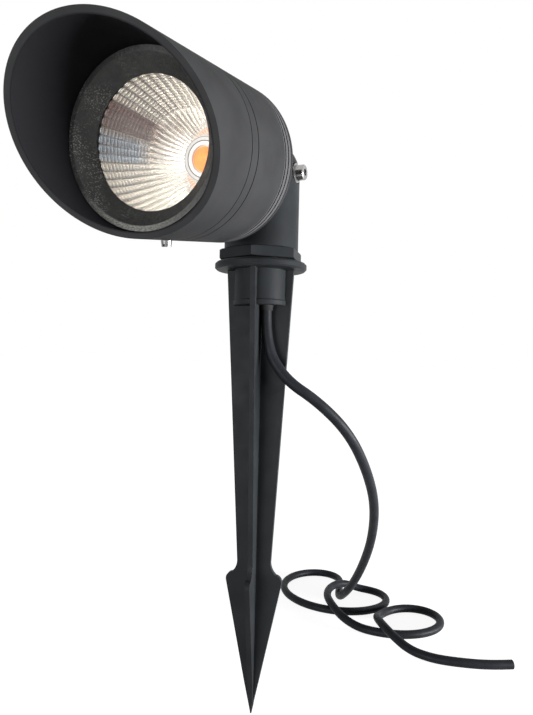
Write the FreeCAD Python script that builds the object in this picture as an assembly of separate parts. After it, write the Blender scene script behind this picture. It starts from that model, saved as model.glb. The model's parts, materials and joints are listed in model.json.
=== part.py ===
import FreeCAD, Part
import math
import os

# Garden spike spotlight. Millimetres, +Z up.
# The origin is the tip of the spike. The lamp looks towards -Y, tipped a little down.
# Head pieces are drawn in a frame of their own: its origin is the tilt pivot, +Z runs
# along the lamp towards the light, +Y is the lamp's upper side, and +X is the row's +X.

V = FreeCAD.Vector

# ---- overall sizes ----
head_radius = 31.5           # lamp body and hood
pivot_height = 252.5         # tip of the spike to the tilt pivot
rest_tilt = 9.0              # lamp points this many degrees below level
tilt_down_limit = 24.0       # lowest aim, degrees below level
running_gap = 0.06           # radial clearance of a part that turns in another
bore_gap = 0.05              # radial clearance round a fixed screw or wire

# ---- stations along the lamp, measured forward from the pivot ----
tongue_reach = 34.0          # pivot to the back of the cap's boss
boss_depth = 8.0
rim_thickness = 3.0
body_length = 31.0
spigot_length = 18.5
baffle_length = 5.5
boss_back = tongue_reach
rim_back = boss_back + boss_depth
cap_face = rim_back + rim_thickness
shoulder = cap_face + body_length
spigot_end = shoulder + spigot_length
baffle_front = spigot_end + baffle_length

# ---- lamp body ----
hood_wall = 2.2
hood_bore = head_radius - hood_wall
spigot_radius = hood_bore - bore_gap
spigot_wall = 3.75
front_bore = spigot_radius - spigot_wall      # chamber of the reflector
rear_wall = 5.5              # holds the cap's screws
rear_bore = head_radius - rear_wall           # seat of the cap's spigot
rear_bore_depth = 6.0
seat_thickness = 4.0         # wall that the light source is screwed to
seat_back = cap_face + rear_bore_depth
seat_face = seat_back + seat_thickness
groove_pitch = 2.85
groove_width = 0.9
groove_depth = 0.7
edge_round = 1.5
edge_chamfer = 0.45

# ---- hood: a tube cut by a slanted plane ----
hood_middle = 114.6          # length of the hood's cut on the axis, from the pivot
hood_slant = 0.50            # rise of the cut per millimetre across
hood_turn = 31.5             # long side of the hood, degrees from the lamp's top
hood_line_ahead = 5.0        # fine scored line ahead of the hood's rear edge
hood_line_width = 0.4
hood_line_depth = 0.25
set_screw_ahead = 8.3        # set screw ahead of the hood's rear edge
set_screw_turn = 4.0         # degrees from straight below
set_screw_radius = 1.25
set_screw_head_radius = 2.0
set_screw_head = 2.3
set_screw_taper = 0.85       # top of its head to the head's foot
set_screw_head_gap = 0.02    # head's foot above the hood
set_screw_tip_gap = 0.2      # tip above the groove's floor
set_slot_depth = 1.0
set_groove_depth = 0.85
set_groove_width = 3.2
set_screw_place = shoulder + set_screw_ahead
slot_width = 0.6             # screwdriver slots

# ---- light source and optics ----
pad_thickness = 0.3
board_thickness = 1.0
board_radius = 8.5
phosphor_radius = 4.85
phosphor_thickness = 0.6
holder_thickness = 1.2
holder_screw_radius = 1.25
holder_screw_head_radius = 1.9
holder_screw_head = 1.4
holder_screw_length = 5.5
holder_slot_depth = 0.7
throat_share = 0.37          # reflector's throat to its mouth
glass_rebate = 1.2           # glass edge inside the chamber's wall
glass_radius = front_bore - glass_rebate
glass_hold = 2.3             # width of the ring's hold on the glass
opening_radius = glass_radius - glass_hold    # clear opening of the baffle ring
mouth_inset = 0.7            # reflector's mouth inside the glass edge
reflector_mouth = glass_radius - mouth_inset
reflector_throat = throat_share * reflector_mouth
reflector_wall = 1.1
reflector_flange = 1.2
reflector_gap = 0.2          # flange to the chamber's wall
gasket_thickness = 0.6
gasket_inset = 0.6           # gasket's inner edge outside the clear opening
glass_thickness = 2.0
glass_sink = 1.4             # glass face behind the spigot's end
baffle_throat = 0.3          # straight part behind the cone
baffle_lip = 1.8             # flat front edge of the baffle ring
baffle_gap = 0.3             # ring to the hood's bore
skirt_gap = 0.1

# ---- rear cap, tongue and driver ----
boss_step = 9.5              # boss inside the cap's rim
boss_radius = head_radius - boss_step
boss_chamfer = 2.0
cap_floor = 3.0
pocket_wall = 5.0
pocket_radius = boss_radius - pocket_wall
holder_radius = pocket_radius - 0.5
holder_window = 5.4
holder_screw_circle = holder_radius - holder_screw_head_radius
ledge_width = 2.0
ledge_depth = 1.0            # driver board lies this far inside the cap's face
spigot_depth = 3.0
spigot_gap = 0.1
screw_hole_extra = 0.5       # hole beyond the screw's tip
ring_section = 0.78          # section radius of the rear sealing ring
cap_screw_count = 3
cap_screw_circle = head_radius - 3.1
cap_screw_radius = 1.25
cap_screw_head_radius = 2.0
cap_screw_head = 1.5
cap_screw_length = 10.0
cap_screw_sink = 0.1         # head below the rim's back
cap_socket_flats = 1.5
cap_socket_depth = 0.8
tongue_thickness = 12.0
tongue_radius = 11.0
tongue_flare = 2.0
tongue_flare_length = 6.0
wire_drop = 6.5              # supply wires below the middle of the tongue
wire_hole = 2.0
wire_mouth = 2.0             # where the wires turn down, ahead of the pivot
wire_mouth_flare = 0.2
wire_end_inset = 0.3         # wires end this far inside the tongue
wire_bend = 3.0
wire_radius = 0.75
wire_offset = 0.8
grommet_core_gap = 0.03
grommet_nose = 1.5
grommet_flange = 1.4
grommet_taper = 0.4
grommet_height = 2.0
driver_thickness = 1.6
driver_gap = 0.3             # board to its ledge
driver_post_radius = 2.5
driver_post_offset = pocket_radius - 3.5
driver_screw_radius = 1.0
driver_screw_head_radius = 1.9
driver_screw_head = 1.3
driver_screw_length = 5.0
coil_place = 0.5 * pocket_radius
coil_radius = 0.5 * coil_place
coil_height = 5.2
coil_flange = 1.0
coil_waist = 0.8
can_place = 0.44 * pocket_radius
can_radius = 0.4 * can_place
can_height = 6.0
chip_boxes = [               # width, depth, height, and middle along Y
    (5.0, 4.0, 1.5, 0.0), (4.5, 4.0, 2.2, 8.0), (3.2, 1.6, 1.0, -9.2),
]
led_wire_radius = 0.6
led_wire_clearance = 0.3
led_wire_offset = pocket_radius + 1.0
led_wire_height = 1.5
led_wire_bend = 0.7

# ---- neck, pivot hardware ----
neck_radius = 17.3
neck_drop = 35.5             # pivot to the neck's shoulder
neck_bottom = pivot_height - neck_drop
slot_gap = 0.7               # each side of the tongue, holds a thin washer
swing_gap = 0.6
neck_chamfer = 0.6
pivot_radius = 2.0
spot_face_depth = 1.0
spot_face_radius = 4.9
washer_radius = 4.5
washer_thickness = 0.8
bolt_head_radius = 3.5
bolt_head = 4.0
bolt_edge = 0.4
socket_flats = 3.0
socket_depth = 2.0
nut_flats = 7.0
nut_thickness = 3.2
bolt_end = 1.0
tilt_washer_radius = 8.0
tilt_washer_gap = 0.05
stub_radius = 10.0
stub_length = 16.0
stub_bottom = neck_bottom - stub_length
stub_bore = 6.0
stub_bore_top = neck_bottom - 3.0
neck_wire_bore = 1.9
stub_ring_height = 1.6
stub_ring_depth = 1.6
stub_ring_rise = 2.0

# ---- stake ----
collar_height = 4.5
collar_corner = 20.0
collar_chamfer = 0.8
ledge_radius = 15.5
ledge_height = 1.1
flange_radius = 21.5
flange_thickness = 3.4
flange_round = 0.8
socket_radius = 12.2
socket_lip = 0.4
socket_lip_height = 2.2
socket_floor = 3.0
socket_length = 16.5
rib_thickness = 2.4
rib_top = 15.9               # half width of the blade under the flange
rib_narrow = 8.0             # half width where the blade is narrowest
narrow_height = 71.5
barb_width = 13.3            # half width of the arrow
barb_height = 62.0
barb_back_middle = (0.6, 2.7)          # rounded back of the arrow, inwards and up
barb_back_end = (2.7, 3.9)
barb_neck_middle = (0.7, 3.1)          # curve into the ribs, outwards and down
tip_flat = 0.3
rib_turn = 10.6              # degrees from +X to the first rib
collar_bottom = neck_bottom - collar_height
flange_top = collar_bottom - ledge_height
flange_bottom = flange_top - flange_thickness
socket_bottom = flange_bottom - socket_length
socket_floor_top = socket_bottom + socket_floor

# ---- cable ----
cable_radius = 2.5
cable_exit_radius = 6.0
cable_exit_angle = -36.0
bush_radius = 3.15
bush_flange_radius = 3.9
bush_flange = 0.8
bush_nose = 2.4
bush_nose_radius = 2.9
jacket_above_floor = 2.0
core_slope = 0.6             # half the height over which the cores run inwards
core_bend = 1.2
core_rise = 0.2              # the cable's cores end above the stub's foot
core_parting = 0.3           # and the neck's cores start this much higher
exit_x = cable_exit_radius * math.cos(math.radians(cable_exit_angle))
exit_y = cable_exit_radius * math.sin(math.radians(cable_exit_angle))
exit_z = socket_bottom - bush_nose

# Loose loops on the ground: a circle that drifts one step each turn.
loop_radius = 28.0
loop_step = 43.0
loop_heading = -26.1         # degrees, the way the loops drift
loop_start = 140.0           # degrees along the turns, 0 at the near side
loop_end = 1130.0
first_loop = V(-30.1, 164.1, 0)
hump_height = 6.2
hump_half = 50.0             # degrees of turn from a hump's foot to its top
hump_tops = [(618.0, 682.4), (1038.0, 1047.0)]
join_length = 2 * cable_radius

# Free cable between the bush and the loops: its corners, as distances to the right
# of the stake and behind it in the main view, and as a share of the outlet's height.
view_right = V(0.9186, 0.3944, 0)
view_back = V(-0.3945, 0.9189, 0)
drop_corners = [
    (12.0, -8.4, 0.834), (28.0, -9.0, 0.780), (43.0, -3.0, 0.703), (54.0, 11.0, 0.599),
    (62.0, 31.0, 0.486), (65.0, 55.0, 0.353), (63.5, 81.0, 0.219), (60.0, 108.0, 0.099),
]
drop_first_run = 16.1
drop_last_run = 27.0
tail_first_run = 13.0
tail_corners = [(142.0, 47.5, cable_radius / exit_z)]


# ---- small helpers ----
def cylinder(radius, low, high, x=0.0, y=0.0):
    return Part.makeCylinder(radius, high - low, V(x, y, low))


def cylinder_x(radius, low, high, y=0.0, z=0.0):
    return Part.makeCylinder(radius, high - low, V(low, y, z), V(1, 0, 0))


def ring(outer, inner, low, high, x=0.0, y=0.0):
    return cylinder(outer, low, high, x, y).cut(cylinder(inner, low - 1, high + 1, x, y))


def outline_wire(outline):
    """Closed wire from corners (a, b); an entry of two corners is an arc's middle and end."""
    edges = []
    here = outline[0]
    for entry in outline[1:] + [outline[0]]:
        if isinstance(entry[0], tuple):
            middle, there = entry
            edges.append(Part.Arc(V(here[0], 0, here[1]), V(middle[0], 0, middle[1]),
                                  V(there[0], 0, there[1])).toShape())
        else:
            there = entry
            if there != here:
                edges.append(Part.makeLine(V(here[0], 0, here[1]), V(there[0], 0, there[1])))
        here = there
    return Part.Wire(edges)


def lathe(outline):
    """Solid of revolution about Z from an outline of (radius, height)."""
    return Part.Face(outline_wire(outline)).revolve(V(0, 0, 0), V(0, 0, 1), 360)


def plate_yz(corners, half):
    """Flat plate across X, from corners (y, z)."""
    points = [V(-half, y, z) for y, z in corners]
    face = Part.Face(Part.makePolygon(points + points[:1]))
    return face.extrude(V(2 * half, 0, 0))


def hexagon(flats, low, high):
    corner = flats / math.sqrt(3)
    points = [V(corner * math.cos(math.radians(60 * i)), corner * math.sin(math.radians(60 * i)), low)
              for i in range(6)]
    return Part.Face(Part.makePolygon(points + points[:1])).extrude(V(0, 0, high - low))


def turned(shape, degrees):
    copy = shape.copy()
    copy.rotate(V(0, 0, 0), V(0, 0, 1), degrees)
    return copy


def along_x(shape):
    """Turn a piece drawn along +Z so that it lies along +X."""
    copy = shape.copy()
    copy.rotate(V(0, 0, 0), V(0, 1, 0), 90)
    return copy


def at_pivot(shape):
    """Neck hardware is drawn about the pivot and lifted to it."""
    copy = shape.copy()
    copy.translate(V(0, 0, pivot_height))
    return copy


def in_head(shape):
    """Head frame to row frame."""
    placement = FreeCAD.Placement(V(0, 0, pivot_height),
                                  FreeCAD.Rotation(V(1, 0, 0), 90 + rest_tilt))
    return shape.transformed(placement.toMatrix(), True)


# ---- wires and cable ----
def rounded_path(points, radius_of):
    """Straight runs joined by tangent arcs; radius_of gives each corner's radius."""
    edges = []
    here = points[0]
    for before, corner, after in zip(points, points[1:], points[2:]):
        back = (before - corner).normalize()
        ahead = (after - corner).normalize()
        half_turn = (math.pi - back.getAngle(ahead)) / 2
        radius = radius_of(before, corner, after, half_turn)
        reach = radius * math.tan(half_turn)
        start = corner + back * reach
        end = corner + ahead * reach
        inward = (back + ahead).normalize()
        middle = corner + inward * (radius / math.cos(half_turn) - radius)
        edges.append(Part.makeLine(here, start))
        edges.append(Part.Arc(start, middle, end).toShape())
        here = end
    edges.append(Part.makeLine(here, points[-1]))
    return Part.Wire(edges)


def tube(path, radius):
    start = path.Edges[0]
    heading = start.tangentAt(start.FirstParameter)
    section = Part.Wire(Part.Circle(start.valueAt(start.FirstParameter), heading, radius).toShape())
    return path.makePipeShell([section], True, False)


def wire(points, bend, radius):
    return tube(rounded_path(points, lambda *corner: bend), radius)


def largest_radius(before, corner, after, half_turn):
    shorter = min((before - corner).Length, (after - corner).Length)
    radius = 0.45 * shorter / math.tan(half_turn)
    print("  cable corner radius %.0f" % radius)
    return radius


def cable_tube(name, points):
    path = rounded_path(points, largest_radius)
    solid = tube(path, cable_radius)
    expected = math.pi * cable_radius ** 2 * path.Length
    print("%s: length %.0f, volume / expected %.4f" % (name, path.Length, solid.Volume / expected))
    return solid


def loop_point(degrees):
    """Centre line of the loops: a drifting circle that rises over each crossing."""
    angle = math.radians(degrees)
    heading = math.radians(loop_heading)
    ahead = V(math.cos(heading), math.sin(heading), 0)
    across = V(-math.sin(heading), math.cos(heading), 0)
    drift = loop_step * (degrees - 180) / 360
    height = cable_radius
    for first, last in hump_tops:
        away = max(first - degrees, degrees - last, 0) / hump_half
        if away < 1:
            height += hump_height * (1 + math.cos(math.pi * away)) / 2
    flat = first_loop + ahead * (drift + loop_radius * math.sin(angle))
    flat = flat - across * (loop_radius * math.cos(angle))
    return V(flat.x, flat.y, height)


def loop_heading_at(degrees):
    step = 0.01
    return (loop_point(degrees + step) - loop_point(degrees - step)).normalize()


def tangent_arc(start, heading, end):
    chord = end - start
    along = V(chord).normalize()
    side = heading - along * heading.dot(along)
    if side.Length < 1e-6:
        return Part.makeLine(start, end)
    angle = heading.getAngle(along)
    middle = start + chord * 0.5 + side.normalize() * (chord.Length / 2 * math.tan(angle / 2))
    return Part.Arc(start, middle, end).toShape()


def biarc(start, heading, end, leaving):
    """Two tangent arcs from one point and direction to the next."""
    chord = end - start
    both = heading + leaving
    spread = 2 * (1 - heading.dot(leaving))
    along = chord.dot(both)
    if spread < 1e-9:
        reach = chord.dot(chord) / (2 * along)
    else:
        reach = (-along + math.sqrt(along ** 2 + spread * chord.dot(chord))) / spread
    join = (start + heading * reach + end - leaving * reach) * 0.5
    first = tangent_arc(start, heading, join)
    join_heading = (end - leaving * reach - start - heading * reach).normalize()
    return [first, tangent_arc(join, join_heading, end)]


def loop_stations():
    stations = {loop_start, loop_end}
    for first, last in hump_tops:
        stations.update([first - hump_half, first - hump_half / 2, first])
        stations.update([last, last + hump_half / 2, last + hump_half])
    ordered = sorted(stations)
    filled = [ordered[0]]
    for low, high in zip(ordered, ordered[1:]):
        parts = math.ceil((high - low) / 60)
        filled += [low + (high - low) * i / parts for i in range(1, parts + 1)]
    return filled


def loops_path():
    stations = loop_stations()
    start = loop_point(loop_start)
    end = loop_point(loop_end)
    edges = [Part.makeLine(start - loop_heading_at(loop_start) * join_length, start)]
    for low, high in zip(stations, stations[1:]):
        edges += biarc(loop_point(low), loop_heading_at(low), loop_point(high), loop_heading_at(high))
    edges.append(Part.makeLine(end, end + loop_heading_at(loop_end) * join_length))
    return Part.Wire(edges)


def least_self_gap(path):
    spacing = 1.0
    points = path.discretize(Distance=spacing)
    apart = int(math.pi * loop_radius / 2 / spacing)
    least = min((points[i] - points[j]).Length
                for i in range(0, len(points), 2) for j in range(i + apart, len(points), 2))
    return least - 2 * cable_radius


def cable_loops():
    path = loops_path()
    solid = tube(path, cable_radius)
    expected = math.pi * cable_radius ** 2 * path.Length
    print("cable_loops: length %.0f, volume / expected %.4f, least self gap %.2f"
          % (path.Length, solid.Volume / expected, least_self_gap(path)))
    return solid


def corner_points(corners):
    return [view_right * right + view_back * back + V(0, 0, share * exit_z)
            for right, back, share in corners]


def drop_route():
    heading = loop_heading_at(loop_start)
    start = V(exit_x, exit_y, exit_z)
    end = loop_point(loop_start) - heading * join_length
    points = [start, start - V(0, 0, drop_first_run)] + corner_points(drop_corners)
    return points + [end - heading * drop_last_run, end]


def cable_drop():
    return cable_tube("cable_drop", drop_route())


def cable_tail():
    heading = loop_heading_at(loop_end)
    start = loop_point(loop_end) + heading * join_length
    points = [start, start + heading * tail_first_run] + corner_points(tail_corners)
    return cable_tube("cable_tail", points)


# ---- stake ----
def blade():
    """One flat blade with the arrow at its foot, in the XZ plane."""
    back_middle = (barb_width - barb_back_middle[0], barb_height + barb_back_middle[1])
    back_end = (barb_width - barb_back_end[0], barb_height + barb_back_end[1])
    neck_middle = (rib_narrow + barb_neck_middle[0], narrow_height - barb_neck_middle[1])
    corners = [(tip_flat / 2, 0), (barb_width, barb_height), (back_middle, back_end),
               (neck_middle, (rib_narrow, narrow_height)),
               (rib_top, flange_bottom), (0, flange_bottom), (0, 0)]
    half = Part.Face(outline_wire(corners)).extrude(V(0, rib_thickness, 0))
    half.translate(V(0, -rib_thickness / 2, 0))
    other = turned(half, 180)
    return half.fuse(other)


def stake():
    cross = turned(blade(), rib_turn).fuse(turned(blade(), rib_turn + 90))
    arrow_slope = barb_width / barb_height
    cone = Part.makeCone(tip_flat, tip_flat + arrow_slope * flange_bottom, flange_bottom)
    cross = cross.common(cone)
    lip_top = socket_bottom + socket_lip_height
    crown = lathe([
        (0, socket_bottom), (socket_radius, socket_bottom),
        (socket_radius + socket_lip, socket_bottom + socket_lip), (socket_radius + socket_lip, lip_top),
        (socket_radius, lip_top + socket_lip), (socket_radius, flange_bottom),
        (flange_radius - flange_round, flange_bottom), (flange_radius, flange_bottom + flange_round),
        (flange_radius, flange_top - flange_round), (flange_radius - flange_round, flange_top),
        (ledge_radius, flange_top), (ledge_radius, collar_bottom), (0, collar_bottom)])
    bore = cylinder(stub_radius + running_gap, socket_floor_top, collar_bottom + 1)
    cable_hole = cylinder(bush_radius + bore_gap, socket_bottom - 1, socket_floor_top + 1, exit_x, exit_y)
    return cross.fuse(crown).cut(bore).cut(cable_hole).removeSplitter()


def lock_collar():
    body = turned(hexagon(collar_corner * math.sqrt(3), collar_bottom, neck_bottom), rib_turn - 90)
    rounding = lathe([
        (0, collar_bottom), (collar_corner - collar_chamfer, collar_bottom),
        (collar_corner, collar_bottom + collar_chamfer / 2),
        (collar_corner, neck_bottom - collar_chamfer / 2),
        (collar_corner - collar_chamfer, neck_bottom), (0, neck_bottom)])
    bore = cylinder(stub_radius + running_gap, collar_bottom - 1, neck_bottom + 1)
    return body.common(rounding).cut(bore)


def cable_bush():
    hole = cable_radius + bore_gap
    top = socket_floor_top + bush_flange
    shape = lathe([
        (hole, exit_z), (bush_nose_radius, exit_z), (bush_radius, socket_bottom),
        (bush_radius, socket_floor_top), (bush_flange_radius, socket_floor_top),
        (bush_flange_radius, top), (hole, top)])
    shape.translate(V(exit_x, exit_y, 0))
    return shape


def cable_inner():
    return cylinder(cable_radius, exit_z, socket_floor_top + bush_flange + jacket_above_floor,
                    exit_x, exit_y)


def cable_cores():
    low = socket_floor_top + bush_flange + jacket_above_floor
    high = stub_bottom + core_rise
    middle = (low + high) / 2
    cores = []
    for side in (-1, 1):
        shift = side * wire_offset
        cores.append(wire([V(exit_x + shift, exit_y, low), V(exit_x + shift, exit_y, middle - core_slope),
                           V(shift, 0, middle + core_slope), V(shift, 0, high)],
                          core_bend, wire_radius))
    return Part.makeCompound(cores)


# ---- neck and pivot hardware ----
def neck():
    shaft = cylinder(neck_radius, neck_bottom, pivot_height)
    shaft = shaft.fuse(Part.makeSphere(neck_radius, V(0, 0, pivot_height)))
    foot = lathe([
        (0, neck_bottom), (neck_radius - neck_chamfer, neck_bottom),
        (neck_radius, neck_bottom + neck_chamfer), (neck_radius, pivot_height + neck_radius),
        (0, pivot_height + neck_radius)])
    shaft = shaft.common(foot)
    shaft = shaft.fuse(cylinder(stub_radius, stub_bottom, neck_bottom))
    swing = tongue_radius + swing_gap
    down = math.radians(tilt_down_limit)
    far = 3 * neck_radius
    low_back = (swing * math.sin(down), -swing * math.cos(down))
    low_front = (low_back[0] - far * math.cos(down), low_back[1] - far * math.sin(down))
    half_slot = tongue_thickness / 2 + slot_gap
    slot = plate_yz([low_back, low_front, (-far, far), (swing, far), (swing, 0)], half_slot)
    slot = slot.fuse(cylinder_x(swing, -half_slot, half_slot))
    cuts = [slot, cylinder_x(pivot_radius + running_gap, -2 * neck_radius, 2 * neck_radius)]
    flat = neck_radius - spot_face_depth
    cuts += [cylinder_x(spot_face_radius, flat, 2 * neck_radius),
             cylinder_x(spot_face_radius, -2 * neck_radius, -flat)]
    shaft = shaft.cut(at_pivot(Part.makeCompound(cuts)))
    shaft = shaft.cut(cylinder(neck_wire_bore, stub_bottom, pivot_height))
    shaft = shaft.cut(cylinder(stub_bore, stub_bottom - 1, stub_bore_top))
    ring_low = stub_bottom + stub_ring_rise
    groove = ring(stub_radius + 1, stub_radius - stub_ring_depth, ring_low, ring_low + stub_ring_height)
    return shaft.cut(groove)


def stub_ring():
    low = stub_bottom + stub_ring_rise
    return ring(stub_radius, stub_radius - stub_ring_depth, low, low + stub_ring_height)


def pivot_bolt():
    seat = neck_radius - spot_face_depth + washer_thickness
    end = seat + nut_thickness + bolt_end
    head = lathe([(0, seat), (bolt_head_radius, seat), (bolt_head_radius, seat + bolt_head - bolt_edge),
                  (bolt_head_radius - bolt_edge, seat + bolt_head), (0, seat + bolt_head)])
    head = head.cut(hexagon(socket_flats, seat + bolt_head - socket_depth, seat + bolt_head + 1))
    return at_pivot(along_x(head.fuse(cylinder(pivot_radius, -end, seat))))


def pivot_nut():
    seat = neck_radius - spot_face_depth + washer_thickness
    body = hexagon(nut_flats, -seat - nut_thickness, -seat)
    return at_pivot(along_x(body.cut(cylinder(pivot_radius + bore_gap, -2 * seat, 0))))


def pivot_washers():
    flat = neck_radius - spot_face_depth
    right = ring(washer_radius, pivot_radius + bore_gap, flat, flat + washer_thickness)
    left = ring(washer_radius, pivot_radius + bore_gap, -flat - washer_thickness, -flat)
    return at_pivot(along_x(Part.makeCompound([right, left])))


def tilt_washers():
    inner = tongue_thickness / 2 + tilt_washer_gap
    outer = tongue_thickness / 2 + slot_gap
    hole = pivot_radius + bore_gap
    return at_pivot(along_x(Part.makeCompound([
        ring(tilt_washer_radius, hole, inner, outer), ring(tilt_washer_radius, hole, -outer, -inner)])))


def neck_wires():
    down = math.radians(tilt_down_limit)
    drop = (tongue_radius + swing_gap) / math.cos(down) + wire_radius * math.tan(down)
    low = stub_bottom + core_rise + core_parting
    return Part.makeCompound([cylinder(wire_radius, low, pivot_height - drop, side * wire_offset)
                              for side in (-1, 1)])


# ---- rear cap and driver ----
def cap_screw_places():
    return [(cap_screw_circle * math.cos(math.radians(90 + 360 * i / cap_screw_count)),
             cap_screw_circle * math.sin(math.radians(90 + 360 * i / cap_screw_count)))
            for i in range(cap_screw_count)]


def driver_seat():
    return cap_face - ledge_depth


def rear_cap():
    turn = edge_round * (1 - math.cos(math.radians(45)))
    spigot = rear_bore - spigot_gap
    shape = lathe([
        (0, boss_back), (boss_radius - boss_chamfer, boss_back), (boss_radius, boss_back + boss_chamfer),
        (boss_radius, rim_back), (head_radius - edge_round, rim_back),
        ((head_radius - turn, rim_back + turn), (head_radius, rim_back + edge_round)),
        (head_radius, cap_face - edge_chamfer), (head_radius - edge_chamfer, cap_face),
        (spigot, cap_face), (spigot, cap_face + spigot_depth),
        (pocket_radius + ledge_width, cap_face + spigot_depth),
        (pocket_radius + ledge_width, driver_seat()), (pocket_radius, driver_seat()),
        (pocket_radius, boss_back + cap_floor), (0, boss_back + cap_floor)])
    root = tongue_radius + tongue_flare
    flare = boss_back - tongue_flare_length
    tongue = plate_yz([
        (-tongue_radius, 0), (-tongue_radius, flare), (-root, boss_back + 1),
        (root, boss_back + 1), (tongue_radius, flare), (tongue_radius, 0)], tongue_thickness / 2)
    tongue = tongue.fuse(cylinder_x(tongue_radius, -tongue_thickness / 2, tongue_thickness / 2))
    shape = shape.fuse(tongue)
    for side in (-1, 1):
        x = side * driver_post_offset
        post = cylinder(driver_post_radius, boss_back + cap_floor, driver_seat(), x)
        hole = cylinder(driver_screw_radius + bore_gap, driver_seat() - driver_screw_length,
                        driver_seat() + 1, x)
        shape = shape.fuse(post).cut(hole)
    for x, y in cap_screw_places():
        shape = shape.cut(cylinder(cap_screw_radius + bore_gap, rim_back - 1, cap_face + 1, x, y))
        shape = shape.cut(cylinder(cap_screw_head_radius + bore_gap, rim_back - 1,
                                   rim_back + cap_screw_head, x, y))
    groove_middle = cap_face + spigot_depth / 2
    groove = ring(spigot + 1, spigot + spigot_gap - 2 * ring_section - bore_gap,
                  groove_middle - ring_section, groove_middle + ring_section)
    wire_way = cylinder(wire_hole, wire_mouth - wire_hole, boss_back + cap_floor + 1, 0, -wire_drop)
    mouth = Part.makeCylinder(wire_hole + wire_mouth_flare, tongue_radius,
                              V(0, -wire_drop, wire_mouth), V(0, -1, 0))
    pivot = cylinder_x(pivot_radius + running_gap, -tongue_thickness, tongue_thickness)
    return shape.cut(groove).cut(wire_way).cut(mouth).cut(pivot)


def rear_seal():
    middle = rear_bore - ring_section - bore_gap / 2
    return Part.makeTorus(middle, ring_section, V(0, 0, cap_face + spigot_depth / 2))


def cap_screws():
    screws = []
    for x, y in cap_screw_places():
        top = rim_back + cap_screw_head
        face = rim_back + cap_screw_sink
        screw = cylinder(cap_screw_head_radius, face, top, x, y)
        screw = screw.fuse(cylinder(cap_screw_radius, top, top + cap_screw_length, x, y))
        socket = hexagon(cap_socket_flats, rim_back, face + cap_socket_depth)
        socket.translate(V(x, y, 0))
        screws.append(screw.cut(socket))
    return Part.makeCompound(screws)


def driver_board():
    radius = pocket_radius + ledge_width - driver_gap
    board = cylinder(radius, driver_seat(), driver_seat() + driver_thickness)
    for side in (-1, 1):
        board = board.cut(cylinder(driver_screw_radius + bore_gap, 0, 2 * cap_face,
                                   side * driver_post_offset))
    return board


def driver_screws():
    screws = []
    top = driver_seat() + driver_thickness
    for side in (-1, 1):
        x = side * driver_post_offset
        screw = cylinder(driver_screw_head_radius, top, top + driver_screw_head, x)
        screws.append(screw.fuse(cylinder(driver_screw_radius, top - driver_screw_length, top, x)))
    return Part.makeCompound(screws)


def driver_coil():
    seat = driver_seat()
    low = seat - coil_height
    bobbin = cylinder(coil_radius, low, seat, 0, coil_place)
    waist = ring(2 * coil_radius, coil_radius - coil_waist, low + coil_flange, seat - coil_flange,
                 0, coil_place)
    return bobbin.cut(waist)


def driver_capacitors():
    seat = driver_seat()
    pair = []
    for side in (-1, 1):
        pair.append(cylinder(can_radius, seat - can_height, seat, side * can_place, -coil_place))
    return Part.makeCompound(pair)


def driver_chips():
    top = driver_seat() + driver_thickness
    return Part.makeCompound([
        Part.makeBox(width, depth, height, V(-width / 2, middle - depth / 2, top))
        for width, depth, height, middle in chip_boxes])


def wire_grommet():
    low = boss_back + cap_floor
    nose = wire_hole - bore_gap
    flange = wire_hole + grommet_flange
    shape = lathe([(0, low - grommet_nose), (nose, low - grommet_nose), (nose, low), (flange, low),
                   (flange - grommet_taper, low + grommet_height), (0, low + grommet_height)])
    for side in (-1, 1):
        shape = shape.cut(cylinder(wire_radius + grommet_core_gap, 0, 2 * low, side * wire_offset))
    shape.translate(V(0, -wire_drop, 0))
    return shape


def supply_wires():
    wires = []
    for side in (-1, 1):
        x = side * wire_offset
        wires.append(wire([V(x, -wire_drop, driver_seat()), V(x, -wire_drop, wire_mouth),
                           V(x, wire_end_inset - tongue_radius, wire_mouth)], wire_bend, wire_radius))
    return Part.makeCompound(wires)


# ---- lamp body, light source and optics ----
def holder_screw_places():
    return [(0, holder_screw_circle), (0, -holder_screw_circle)]


def lamp_body():
    shape = lathe([
        (rear_bore, cap_face), (head_radius - edge_chamfer, cap_face),
        (head_radius, cap_face + edge_chamfer), (head_radius, shoulder - edge_chamfer / 2),
        (head_radius - edge_chamfer / 2, shoulder), (spigot_radius, shoulder),
        (spigot_radius, spigot_end), (front_bore, spigot_end), (front_bore, seat_face),
        (0, seat_face), (0, seat_back), (rear_bore, seat_back)])
    for count in (1, 2):
        middle = cap_face + count * groove_pitch
        shape = shape.cut(ring(head_radius + 1, head_radius - groove_depth,
                               middle - groove_width / 2, middle + groove_width / 2))
    shape = shape.cut(ring(spigot_radius + 1, spigot_radius - set_groove_depth,
                           set_screw_place - set_groove_width / 2,
                           set_screw_place + set_groove_width / 2))
    for x, y in cap_screw_places():
        end = rim_back + cap_screw_head + cap_screw_length + screw_hole_extra
        shape = shape.cut(cylinder(cap_screw_radius + bore_gap, cap_face - 1, end, x, y))
    for x, y in holder_screw_places():
        shape = shape.cut(cylinder(holder_screw_radius + bore_gap, seat_back - 1, seat_face + 1, x, y))
    for side in (-1, 1):
        shape = shape.cut(cylinder(led_wire_radius + led_wire_clearance, seat_back - 1, seat_face + 1,
                                   side * led_wire_offset))
    return shape


def thermal_pad():
    return cylinder(board_radius, seat_face, seat_face + pad_thickness)


def board_top():
    return seat_face + pad_thickness + board_thickness


def led_board():
    return cylinder(board_radius, seat_face + pad_thickness, board_top())


def led_phosphor():
    return cylinder(phosphor_radius, board_top(), board_top() + phosphor_thickness)


def holder_top():
    return board_top() + holder_thickness


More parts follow.
